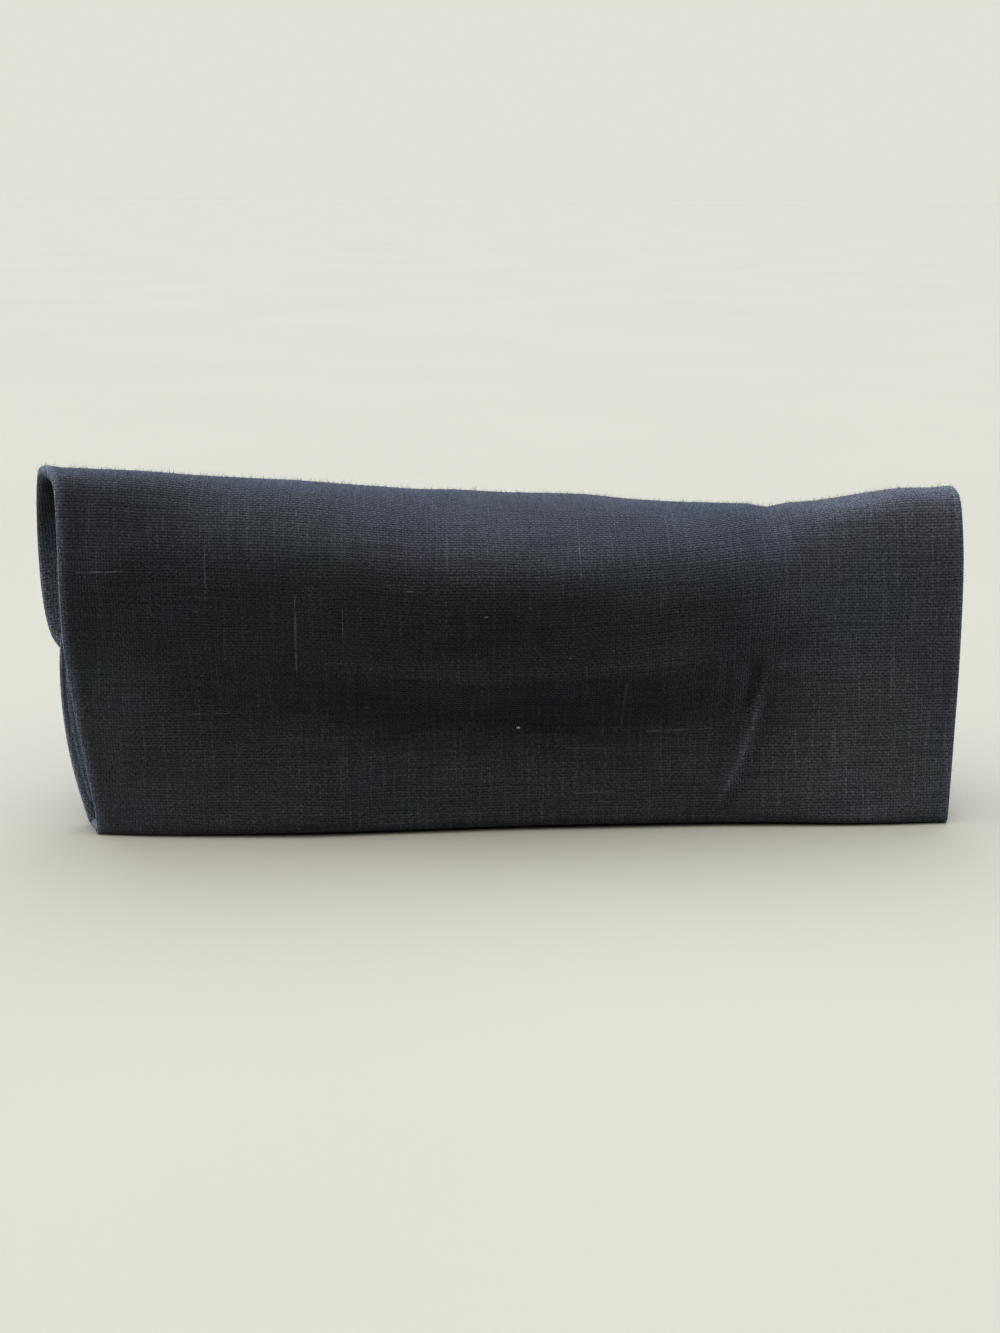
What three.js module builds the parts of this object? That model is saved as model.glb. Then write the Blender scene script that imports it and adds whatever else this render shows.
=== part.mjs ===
// Linen flap pouch: one long cloth wrapped into a pocket with a flap, and a folded gusset at each end.
// Millimetres, +Z up, the plain front towards -Y. The origin is the middle of the bottom.
import * as THREE from "three";

// Cloth
const SHEET = 1.8; // thickness of the wrapped cloth
const HEM_WIDTH = 3.4; // reach of a turned hem's swelling from its edge
const MOUTH_HEM = 0.4; // how far the hems of the mouth and the flap stand out on each face
const RIGHT_HEM = 0.35; // how far the right side's hems stand out, as a share of the left side's
const EDGE_SHARE = 0.4; // share of the thickness left at the very edge, which is rounded
const LINEN_COLOUR = 0x464c57;

// Floor
const FLOOR_LIFT = 0.3; // how far the floor is drawn up between the low points that the pouch stands on
const LOW_REACH = 9.0; // how far from a low point the floor is still lower

// Gussets
const GUSSET = 1.2; // thickness of a gusset
const SEAM_GAP = 0.3; // clear space between a gusset and the wrapped cloth
const HEM_ROOM = 0.9; // room left inside the side hems
const GUSSET_INSET = 1.6; // from the pocket's side edge in to the gusset's edge
const VALLEY_FOOT = 7.0; // how far the fold runs in at the foot of a gusset
const VALLEY_MOUTH = 14.0; // and at its top, by the mouth
const GUSSET_FRONT = { foot: 0.9, top: 6.2 }; // its foot and top among the lines of the front
const GUSSET_FAR = { foot: 4.0, top: 0.6 }; // and among the lines of the far panel

// Mesh
const EDGE_COLUMNS = [0, 0.8, 2.2, 4.5, 7.5]; // columns of points this far from each side edge
const COLUMN_PITCH = 9.0; // spacing of the columns between them
const STEPS_PER_ROW = 2; // points along the cloth for each row of the tables
const HEM_STEPS = [0, 0.2, 0.5]; // the finer steps at the two hems, in rows
const GUSSET_COLUMNS = 12;
const GUSSET_ROWS = 16;
const STEP = 1e-3; // share used to take slopes

// The pouch at places along its width, from the left end to the right.
// height: of the top fold. depth: of the pocket's belly. floor: depth of its floor.
// fold: from the front's top over to the flap. tilt: how far the front leans back.
// shoulder: how far its top rounds back. sag: strength of its sagging fold.
// front: how far back its foot stands.
const STATIONS = [
  { at: 0, height: 89.4, depth: 16, floor: 9, fold: 17.5, tilt: 1, shoulder: 2, sag: 0, front: 0 },
  { at: 0.06, height: 89.4, depth: 20, floor: 15, fold: 18.5, tilt: 0.8, shoulder: 5, sag: 0, front: -2 },
  { at: 0.25, height: 84.7, depth: 33, floor: 32, fold: 23, tilt: 0.2, shoulder: 14, sag: 0.5, front: -4 },
  { at: 0.5, height: 80.2, depth: 39, floor: 38, fold: 25, tilt: 0, shoulder: 18, sag: 1, front: -2 },
  { at: 0.71, height: 77.6, depth: 36, floor: 35, fold: 23.5, tilt: 2, shoulder: 16, sag: 0.5, front: -1.5 },
  { at: 0.8, height: 77.2, depth: 33, floor: 32, fold: 22.6, tilt: 8, shoulder: 10, sag: 0.1, front: -2 },
  { at: 0.88, height: 79.6, depth: 29, floor: 26, fold: 20, tilt: 13, shoulder: 4.5, sag: 0, front: -3 },
  { at: 1, height: 82.2, depth: 19, floor: 14, fold: 15.5, tilt: 13, shoulder: 2, sag: 0, front: -2 },
];

// Lines along the pocket's far panel, from the mouth hem down. belly, foot and lean are shares of depth,
// floor and tilt, up a share of height, left and right where the line ends, hem how far its hems stand out.
const FAR_PANEL = [
  { line: "mouth", belly: 0.9, foot: 0, lean: 0.6, up: 0.64, left: -112.5, right: 103, hem: 0.5 },
  { line: "below mouth", belly: 0.95, foot: 0, lean: 0.55, up: 0.55, left: -116.4, right: 104.5, hem: 0.8 },
  { line: "belly", belly: 1, foot: 0, lean: 0.4, up: 0.36, left: -117.4, right: 105, hem: 1 },
  { line: "low", belly: 0.5, foot: 0.52, lean: 0.15, up: 0.18, left: -115.6, right: 105.5, hem: 0.6 },
  { line: "heel", belly: 0, foot: 1, lean: 0, up: 0.045, left: -111.8, right: 106, hem: 0 },
];

// Lines across the floor, from the heel to the toe.
const FLOOR = [
  { line: "heel floor", foot: 0.94, left: -110.6, right: 106, hem: 0 },
  { line: "rear floor", foot: 0.8, left: -109.8, right: 106, hem: 0 },
  { line: "mid floor", foot: 0.5, left: -108.6, right: 106.5, hem: 0 },
  { line: "fore floor", foot: 0.22, left: -107.8, right: 106.5, hem: 0 },
  { line: "toe floor", foot: 0.1, left: -107.4, right: 106.5, hem: 0 },
];

// The low points of the floor: shares of the width, on lines of the floor.
const LOW_POINTS = [
  { share: 0.12, line: "fore floor" },
  { share: 0.88, line: "fore floor" },
  { share: 0.5, line: "rear floor" },
];

// Lines up the front, from the toe. give and drop are millimetres back and down where the sag is strongest,
// round a share of shoulder.
const FRONT = [
  { line: "toe", up: 0.02, give: 0, drop: 0, round: 0, left: -107.2, right: 106.2, hem: 0 },
  { line: "above toe", up: 0.06, give: 0.2, drop: 0, round: 0, left: -107.4, right: 106.4, hem: 0.2 },
  { line: "low", up: 0.16, give: 0.8, drop: 0.5, round: 0, left: -108.5, right: 106.8, hem: 0.5 },
  { line: "below undercut", up: 0.29, give: 3.2, drop: 2, round: 0, left: -110.2, right: 107.3, hem: 0.5 },
  { line: "undercut", up: 0.4, give: 5.4, drop: 3.5, round: 0, left: -111.3, right: 107.8, hem: 0.5 },
  { line: "crest", up: 0.5, give: -3, drop: 4, round: 0, left: -112.3, right: 108.1, hem: 0.5 },
  { line: "above crest", up: 0.6, give: -3.3, drop: 2.5, round: 0, left: -112.7, right: 108.3, hem: 0.5 },
  { line: "waist", up: 0.72, give: -3.2, drop: 0, round: 0, left: -112.6, right: 108.5, hem: 0.5 },
  { line: "shoulder", up: 0.84, give: -3, drop: 0, round: 0.06, left: -112.2, right: 108.4, hem: 0.5 },
  { line: "brow", up: 0.94, give: -0.8, drop: 0, round: 0.5, left: -112.1, right: 108, hem: 0.6 },
];

// Lines over the top fold and down the flap to its hem. over is a share of fold.
const FLAP = [
  { line: "top, near", over: 0.05, up: 1, left: -112.9, right: 107.8, hem: 0.7 },
  { line: "top, far", over: 0.45, up: 1.015, left: -116.6, right: 107.6, hem: 0.8 },
  { line: "back shoulder", over: 0.9, up: 0.97, left: -119.8, right: 106, hem: 0.9 },
  { line: "high", over: 1.05, up: 0.84, left: -121.2, right: 104, hem: 1.1 },
  { line: "mid", over: 1.02, up: 0.7, left: -121.3, right: 103, hem: 1.2 },
  { line: "low", over: 1, up: 0.57, left: -120.8, right: 102, hem: 1.2 },
  { line: "corner", over: 0.98, up: 0.475, left: -118.6, right: 100, hem: 1 },
  { line: "hem", over: 0.98, up: 0.445, left: -111, right: 94, hem: 0.8 },
];

const LINES = [...FAR_PANEL, ...FLOOR, ...FRONT, ...FLAP];
const ROWS = LINES.length;
const FRONT_START = FAR_PANEL.length + FLOOR.length;

const mix = (a, b, share) => a + (b - a) * share;

// The station values at a share of the width, joined by smooth cubic curves.
function stationAt(share) {
  const last = STATIONS.length - 1;
  const passed = STATIONS.filter((station) => station.at <= share).length;
  const i = Math.min(Math.max(passed - 1, 0), last - 1);
  const slope = (k, key) =>
    (STATIONS[k + 1][key] - STATIONS[k][key]) / (STATIONS[k + 1].at - STATIONS[k].at);
  const slopeAt = (k, key) => {
    const before = slope(Math.max(k - 1, 0), key);
    const after = slope(Math.min(k, last - 1), key);
    return (before + after) / 2;
  };
  const span = STATIONS[i + 1].at - STATIONS[i].at;
  const t = (share - STATIONS[i].at) / span;
  const value = (key) =>
    (2 * t ** 3 - 3 * t ** 2 + 1) * STATIONS[i][key] +
    (t ** 3 - 2 * t ** 2 + t) * span * slopeAt(i, key) +
    (3 * t ** 2 - 2 * t ** 3) * STATIONS[i + 1][key] +
    (t ** 3 - t ** 2) * span * slopeAt(i + 1, key);
  return Object.fromEntries(Object.keys(STATIONS[0]).map((key) => [key, value(key)]));
}

// The control points of the section at a share of the width, from the mouth hem to the flap hem.
function sectionAt(share) {
  const s = stationAt(share);
  const point = (row, y, z) => new THREE.Vector3(mix(row.left, row.right, share), s.front + y, z);
  return [
    ...FAR_PANEL.map((r) =>
      point(r, r.belly * s.depth + r.foot * s.floor + r.lean * s.tilt, r.up * s.height),
    ),
    ...FLOOR.map((r) => point(r, r.foot * s.floor, 0)),
    ...FRONT.map((r) =>
      point(r, r.up * s.tilt + r.give * s.sag + r.round * s.shoulder, r.up * s.height - r.drop * s.sag),
    ),
    ...FLAP.map((r) => point(r, s.tilt + s.shoulder + r.over * s.fold, r.up * s.height)),
  ];
}

// The four lines that shape the cloth at a row, and their weights: a cubic B-spline.
function splineWeights(row) {
  const first = Math.min(Math.max(Math.floor(row), 0), ROWS - 2);
  const t = row - first;
  const weights = [(1 - t) ** 3, 3 * t ** 3 - 6 * t ** 2 + 4, -3 * t ** 3 + 3 * t ** 2 + 3 * t + 1, t ** 3];
  return weights.map((weight, k) => ({ line: first + k, weight: weight / 6 }));
}

// A point of the cloth's outer face: share runs along the width, row along the section.
function clothPoint(share, row) {
  const lines = sectionAt(share);
  const before = lines[0].clone().multiplyScalar(2).sub(lines[1]);
  const after = lines[ROWS - 1].clone().multiplyScalar(2).sub(lines[ROWS - 2]);
  const padded = [before, ...lines, after];
  const point = new THREE.Vector3();
  splineWeights(row).forEach(({ line, weight }) => point.addScaledVector(padded[line], weight));
  return point;
}

// The direction square to a surface given by a function of two values.
function normalOf(surface, a, b) {
  const along = surface(a + STEP, b).sub(surface(a - STEP, b));
  const across = surface(a, b + STEP).sub(surface(a, b - STEP));
  return along.cross(across).normalize();
}

// How high the floor's underside is above the table at a place: 0 at the low points.
function floorHeight(x, y) {
  const distances = LOW_POINTS.map(({ share, line }) => {
    const low = clothPoint(share, LINES.findIndex((r) => r.line === line));
    return Math.hypot(x - low.x, y - low.y);
  });
  return FLOOR_LIFT * Math.min(1, Math.min(...distances) / LOW_REACH);
}

// How far from the nearest side edge a share of the width is.
function sideDistance(share, row) {
  const width = clothPoint(0, row).distanceTo(clothPoint(1, row));
  return Math.min(share, 1 - share) * width;
}

// How far from the nearer of the two hems a row is.
function hemDistance(share, row) {
  const toMouth = clothPoint(share, row).distanceTo(clothPoint(share, 0));
  const toHem = clothPoint(share, row).distanceTo(clothPoint(share, ROWS - 1));
  return Math.min(toMouth, toHem);
}

// How far the side hems stand out at a row.
function hemAt(row) {
  const hems = [LINES[0].hem, ...LINES.map((r) => r.hem), LINES[ROWS - 1].hem];
  return splineWeights(row).reduce((sum, { line, weight }) => sum + weight * hems[line], 0);
}

// Half the cloth's thickness: swollen by the hems, and rounded off at the very edge.
function halfThickness(share, row) {
  const side = sideDistance(share, row);
  const end = hemDistance(share, row);
  const sideHem = hemAt(row) * mix(1, RIGHT_HEM, share) * Math.exp(-((side / HEM_WIDTH) ** 2));
  const endHem = MOUTH_HEM * Math.exp(-((end / HEM_WIDTH) ** 2));
  const swollen = SHEET / 2 + Math.max(sideHem, endHem);
  const inward = Math.min(Math.min(side, end) / swollen, 1);
  return swollen * mix(EDGE_SHARE, 1, Math.sqrt(1 - (1 - inward) ** 2));
}

// A point of the cloth's outer face, or of its inner one, hems and rounded edges included.
function facePoint(share, row, inside) {
  const half = halfThickness(share, row);
  const out = -SHEET / 2 + (inside ? -half : half);
  const point = clothPoint(share, row).addScaledVector(normalOf(clothPoint, share, row), out);
  point.z = Math.max(point.z, floorHeight(point.x, point.y));
  return point;
}

// A closed sheet between two grids of points, the first grid facing out.
function sheetGeometry(outer, inner) {
  const rows = outer.length;
  const columns = outer[0].length;
  const points = [...outer.flat(), ...inner.flat()];
  const innerStart = rows * columns;
  const at = (i, j) => i * columns + j;
  const faces = [];
  for (let i = 0; i < rows - 1; i += 1) {
    for (let j = 0; j < columns - 1; j += 1) {
      const [a, b, c, d] = [at(i, j), at(i, j + 1), at(i + 1, j + 1), at(i + 1, j)];
      faces.push(a, b, c, a, c, d);
      faces.push(...[a, c, b, a, d, c].map((k) => k + innerStart));
    }
  }
  const steps = (count) => Array.from({ length: count - 1 }, (_, k) => k);
  const rim = [
    ...steps(columns).map((j) => at(0, j)),
    ...steps(rows).map((i) => at(i, columns - 1)),
    ...steps(columns).map((j) => at(rows - 1, columns - 1 - j)),
    ...steps(rows).map((i) => at(rows - 1 - i, 0)),
  ];
  rim.forEach((p, k) => {
    const q = rim[(k + 1) % rim.length];
    faces.push(q, p, p + innerStart, q, p + innerStart, q + innerStart);
  });
  return new THREE.BufferGeometry().setFromPoints(points).setIndex(faces);
}

// The shares of the width at which the cloth has columns of points: closer by the side edges.
function columnShares() {
  const width = FRONT[0].right - FRONT[0].left;
  const near = EDGE_COLUMNS.map((distance) => distance / width);
  const start = near[near.length - 1];
  const count = Math.round(((1 - 2 * start) * width) / COLUMN_PITCH);
  const middle = Array.from({ length: count - 1 }, (_, k) => mix(start, 1 - start, (k + 1) / count));
  return [...near, ...middle, ...near.map((share) => 1 - share).reverse()];
}

// The places along the section at which the cloth has rows of points: closer by the two hems.
function rowPlaces() {
  const inner = Array.from({ length: (ROWS - 3) * STEPS_PER_ROW + 1 }, (_, k) => 1 + k / STEPS_PER_ROW);
  return [...HEM_STEPS, ...inner, ...HEM_STEPS.map((step) => ROWS - 1 - step).reverse()];
}

function wrapGeometry() {
  const grid = (inside) =>
    rowPlaces().map((row) => columnShares().map((share) => facePoint(share, row, inside)));
  return sheetGeometry(grid(false), grid(true));
}

// A point in the middle of a gusset: across runs from the front to the far panel, up from foot to mouth.
function gussetPoint(across, up, side) {
  const valley = mix(VALLEY_FOOT, VALLEY_MOUTH, up) * Math.sin(Math.PI * across);
  const width = FRONT[0].right - FRONT[0].left;
  const share = (GUSSET_INSET + valley) / width;
  const place = side === "left" ? share : 1 - share;
  const clear = -SHEET - SEAM_GAP - GUSSET / 2 - HEM_ROOM;
  const frontRow = FRONT_START + mix(GUSSET_FRONT.foot, GUSSET_FRONT.top, up);
  const farRow = mix(GUSSET_FAR.foot, GUSSET_FAR.top, up);
  const offset = (row) => clothPoint(place, row).addScaledVector(normalOf(clothPoint, place, row), clear);
  const blend = (1 - Math.cos(Math.PI * across)) / 2;
  return offset(frontRow).lerp(offset(farRow), blend);
}

function gussetGeometry(side) {
  const middle = (across, up) => gussetPoint(across, up, side);
  const grid = (out) =>
    Array.from({ length: GUSSET_ROWS + 1 }, (_, i) =>
      Array.from({ length: GUSSET_COLUMNS + 1 }, (__, j) => {
        const across = j / GUSSET_COLUMNS;
        const up = i / GUSSET_ROWS;
        return middle(across, up).addScaledVector(normalOf(middle, across, up), out * (GUSSET / 2));
      }),
    );
  return sheetGeometry(grid(1), grid(-1));
}

const pouch = new THREE.Group();
const pieces = {
  wrap: wrapGeometry(),
  gusset_left: gussetGeometry("left"),
  gusset_right: gussetGeometry("right"),
};
Object.entries(pieces).forEach(([name, geometry]) => {
  const linen = new THREE.MeshStandardMaterial({ color: LINEN_COLOUR, roughness: 0.95, metalness: 0 });
  const mesh = new THREE.Mesh(geometry, linen);
  mesh.name = name;
  pouch.add(mesh);
});

// Bring the middle of the bottom to the origin.
const box = new THREE.Box3().setFromObject(pouch);
const middle = box.getCenter(new THREE.Vector3());
pouch.children.forEach((mesh) => mesh.geometry.translate(-middle.x, -middle.y, -box.min.z));

export default pouch;
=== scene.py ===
"""Linen flap pouch: a long cloth folded into a pocket with a flap, and a folded gusset at each end.

Lengths in the values and tables are millimetres unless they say otherwise, with the plain front towards -Y
and +Z up. x runs along the width, from about the middle of the front. v runs along the cloth from the toe:
up the front, over the top and down the flap, and below 0 across the floor and up the far panel.
"""
import math
from collections import namedtuple
from functools import partial

import bpy
import numpy as np
from bpy.props import FloatProperty, FloatVectorProperty, IntProperty, PointerProperty
from mathutils import Matrix, Vector


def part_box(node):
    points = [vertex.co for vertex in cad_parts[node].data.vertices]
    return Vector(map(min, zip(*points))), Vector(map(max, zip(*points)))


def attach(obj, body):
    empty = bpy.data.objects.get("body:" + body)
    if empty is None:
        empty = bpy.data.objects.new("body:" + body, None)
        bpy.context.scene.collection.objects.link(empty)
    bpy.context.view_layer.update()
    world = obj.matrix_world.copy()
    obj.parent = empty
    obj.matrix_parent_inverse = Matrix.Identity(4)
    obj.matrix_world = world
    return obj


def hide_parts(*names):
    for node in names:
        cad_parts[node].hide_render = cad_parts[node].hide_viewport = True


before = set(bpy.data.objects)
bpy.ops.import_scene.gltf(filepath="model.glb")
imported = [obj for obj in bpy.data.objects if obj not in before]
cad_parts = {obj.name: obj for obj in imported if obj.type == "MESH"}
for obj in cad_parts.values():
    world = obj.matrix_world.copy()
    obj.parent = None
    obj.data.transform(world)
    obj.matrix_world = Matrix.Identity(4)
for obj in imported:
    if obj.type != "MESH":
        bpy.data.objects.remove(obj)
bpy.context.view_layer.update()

bl_info = {
    "name": "Linen flap pouch",
    "version": (1, 0, 0),
    "blender": (4, 5, 0),
    "location": "3D View > Sidebar > Pouch",
    "description": "Builds a soft linen pouch with a flap and folded gussets on a pale floor",
    "category": "Add Mesh",
}

MM = 0.001
ORIGIN = np.array([-6.39, 18.07, 0.0])  # the middle of the pouch's bottom, in the tables' millimetres
SLOPE_STEP = 1e-3  # share or row used to take slopes
SLACK_SEED = 7
FIBRE_SEED = 11

# Mesh of the wrapped cloth.
EDGE_STEPS = (0, 0.25, 0.6, 1.1, 1.7, 2.4, 3.3, 4.4)  # mesh columns in from either side
HEM_STEPS = (0, 0.03, 0.08, 0.15, 0.25, 0.38, 0.55)  # mesh rows in from either end, in lines
FINE_COLUMNS = (45.0, 62.0, 0.5)  # stretch of x by the slanted crease, and the pitch of its columns
FINE_MARGIN = 0.2  # least space between those columns and the others

# Soft shape of the wrapped cloth.
RIGHT_HEM = 0.35  # how far the right side's hems stand out, as a share of the left side's
CREASE_RISE = (0.5, 6)  # heights above the floor between which creases and slack fade in
CREASE_FADE = (-0.05, 0.3)  # shares of a crease's length between which it fades in, from either end
SLACK_RISE = (1, 14)  # distances from a side edge between which the slack fades in
SLACK_SPANS = (14, 60)  # shortest and longest wave of the slack
SLACK_WAVES = 24

# Rubbed hems, and painted light near the sides of the inner face and on the gussets. Strengths are shares of
# the look's hem wear, which also scales that painted light.
HEM_RUB_REACH = 1.75
# Painted light on the inner face near the sides, and how far in from a side it reaches.
INNER_PAINTED_LIGHT_REACH = 6
FAR_PANEL_PAINTED_LIGHT = 2.6  # painted light on the inside of the far panel
FLAP_PAINTED_LIGHT = 1.5  # painted light on the inside of the flap
FLAP_PAINTED_LIGHT_RISE = (110, 132)  # v between which that fades in; nearer the top fold it is left dark as painted shade
# Painted light along the gussets' edges, and how far in it reaches.
GUSSET_PAINTED_LIGHT = 2.4
GUSSET_PAINTED_LIGHT_REACH = 0.16  # share of a gusset's width

# Gussets. Rows are counted in lines of the tables.
GUSSET_FRONT_ROWS = (0.9, 6.2)  # where foot and mouth meet the front, from the toe
GUSSET_FAR_ROWS = (4.0, 0.6)  # where they meet the far panel, from the mouth hem
GUSSET_WIDTH = 30 * MM  # laid flat, in metres
GUSSET_GRID = (41, 61)  # mesh points across and up

# Shades of the weave, from 0 for the dark yarn to 1 for the light one.
YARN_GRAIN = 0.83  # scale of the noise that shades one yarn after another
CROSSING = 0.3  # how softly one yarn goes under the other
WEFT_SHADES = (0.14, 0.84)
WARP_SHADES = (0.2, 0.74)
RARE_WARP = (0.58, 0.74)  # noise of the few palest warp yarns
RARE_GAIN = 0.2  # how much paler they are made
WARP_SHARE = (0.3, 0.66)  # the warp's share of the shade, under the weft and over it
SHADE_RANGE = (0.22, 0.8)  # shades that are drawn out to 0 and 1
ROUND_SHADE = (0.4, 1.1)  # factor on the shade, in the gaps and on top of a yarn
FLUFF_RANGE = (0.3, 0.7)  # noise of the fluff
FLUFF_SHADE = (0.35, 1.65)  # its factor on the shade
FLUFF_WEAR = (0.65, 1.35)  # its factor on the wear and painted light
PATCH_LEAST = 0.88  # factor on the colour in the darkest patch
PATCH_SPREAD = 0.24  # and what the palest patch adds to it
WORN_AND_LIT_TONES = (0.6, 1.3)  # factors on the pale colour of wear and painted light, for dark and light yarn
YARN_ROUGHNESS = (0.98, 0.86)  # in the gaps and on top of a yarn
SHADE_RELIEF = 0.6  # how far light yarn stands out, as a share of a yarn's own roundness
BUMP_SHARE = 1 / 3  # depth of the weave, as a share of a thread

# Loose yarn.
LOOSE_CLOUDS = 4  # changes of shade in one yarn run
LOOSE_RANGE = (0.35, 0.65)  # noise of its shade
LOOSE_PALE = 0.2  # how far it goes from the light yarn's colour to the worn one's

# Slubs. Their sizes are shares of their thickness.
SLUB_RINGS = 16
SLUB_SIDES = 6
SLUB_MEAN = 0.7  # how full one is on average
SLUB_SWING = 0.3  # how far it swells and thins
SLUB_WAVES = (5, 11)  # half waves of that along it
SLUB_RADIUS = 0.42
SLUB_SINK = 0.14  # how far thin stretches sink in
SLUB_RISE = 0.38  # height over width

# Stray fibres.
FUZZ_TOP = 92  # v of the top fold
FUZZ_REACH = 14  # how far along v the fuzz there spreads
FUZZ_GAIN = 2  # how many more fibres stand there, as a share
FIBRE_LOWEST = 2  # height below which none stand
FIBRE_SHIFT = 0.6  # how far a root strays from its mesh point
FIBRE_ROOT = 0.1  # how deep it sits
FIBRE_LEAN = 0.8  # spread of the slopes
FIBRE_SHAPE = 3  # shape of the gamma spread of lengths, whose mean is 1
FIBRE_ASIDE = 0.01  # keeps a fibre's side from being taken along the fibre
FIBRE_CLEAR = 0.2  # least height of a fibre's points

# Stage.
FLOOR_REACH = 40  # from the middle to each side, in metres
BOARD_CLOUD = 250 * MM  # size of the brush's clouds, in metres
BOARD_TONES = (0.97, 1.03)  # factors on the floor's colour
SENSOR = 36  # width of the camera's sensor


def table(columns, *rows):
    """The named columns of a short table, as arrays."""
    return dict(zip(columns.split(), np.array(rows, float).T))


# The pouch at places along its width. at: share of the width, from the left. height: of the top fold.
# depth: of the belly. floor: depth of the floor. fold: from the front's top over to the flap. tilt: how far
# the front leans back. shoulder: how far its top rounds back. sag: strength of its sagging fold. front: how
# far back its foot stands.
STATIONS = table(
    "at height depth floor fold tilt shoulder sag front",
    (0, 89.4, 16, 9, 17.5, 1, 2, 0, 0),
    (0.06, 89.4, 20, 15, 18.5, 0.8, 5, 0, -2),
    (0.25, 84.7, 33, 32, 23, 0.2, 14, 0.5, -4),
    (0.5, 80.2, 39, 38, 25, 0, 18, 1, -2),
    (0.71, 77.6, 36, 35, 23.5, 2, 16, 0.5, -1.5),
    (0.8, 77.2, 33, 32, 22.6, 8, 10, 0.1, -2),
    (0.88, 79.6, 29, 26, 20, 13, 4.5, 0, -3),
    (1, 82.2, 19, 14, 15.5, 13, 2, 0, -2),
)

# Lines along the far panel from the mouth hem down. belly, foot and lean are shares of depth, floor and
# tilt, up a share of height, left and right where the line ends, hem how far its hems stand out.
FAR_PANEL = table(
    "belly foot lean up left right hem",
    (0.9, 0, 0.6, 0.64, -112.5, 103, 0.5),
    (0.95, 0, 0.55, 0.55, -116.4, 104.5, 0.8),
    (1, 0, 0.4, 0.36, -117.4, 105, 1),
    (0.5, 0.52, 0.15, 0.18, -115.6, 105.5, 0.6),
    (0, 1, 0, 0.045, -111.8, 106, 0),
)

# Lines across the floor, from the heel to the toe. foot is a share of floor.
FLOOR = table(
    "foot left right hem",
    (0.94, -110.6, 106, 0),
    (0.8, -109.8, 106, 0),
    (0.5, -108.6, 106.5, 0),
    (0.22, -107.8, 106.5, 0),
    (0.1, -107.4, 106.5, 0),
)

# Lines up the front from the toe. up is a share of height and tilt, round a share of shoulder, and give and
# drop are how far back and down it sags.
FRONT = table(
    "up give drop round left right hem",
    (0.02, 0, 0, 0, -107.2, 106.2, 0),
    (0.06, 0.2, 0, 0, -107.4, 106.4, 0.2),
    (0.16, 0.8, 0.5, 0, -108.5, 106.8, 0.5),
    (0.29, 3.2, 2, 0, -110.2, 107.3, 0.5),
    (0.4, 5.4, 3.5, 0, -111.3, 107.8, 0.5),
    (0.5, -3, 4, 0, -112.3, 108.1, 0.5),
    (0.6, -3.3, 2.5, 0, -112.7, 108.3, 0.5),
    (0.72, -3.2, 0, 0, -112.6, 108.5, 0.5),
    (0.84, -3, 0, 0.06, -112.2, 108.4, 0.5),
    (0.94, -0.8, 0, 0.5, -112.1, 108, 0.6),
)

# Lines over the top fold and down the flap to its hem. over is a share of fold, up a share of height.
FLAP = table(
    "over up left right hem",
    (0.05, 1, -112.9, 107.8, 0.7),
    (0.45, 1.015, -116.6, 107.6, 0.8),
    (0.9, 0.97, -119.8, 106, 0.9),
    (1.05, 0.84, -121.2, 104, 1.1),
    (1.02, 0.7, -121.3, 103, 1.2),
    (1, 0.57, -120.8, 102, 1.2),
    (0.98, 0.475, -118.6, 100, 1),
    (0.98, 0.445, -111, 94, 0.8),
)

PANELS = (FAR_PANEL, FLOOR, FRONT, FLAP)
LEFT, RIGHT, HEM = (np.concatenate([panel[key] for panel in PANELS]) for key in ("left", "right", "hem"))
ROWS = len(HEM)
TOE_ROW = len(FAR_PANEL["up"]) + len(FLOOR["foot"])
FRONT_WIDTH = FRONT["right"][0] - FRONT["left"][0]
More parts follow.
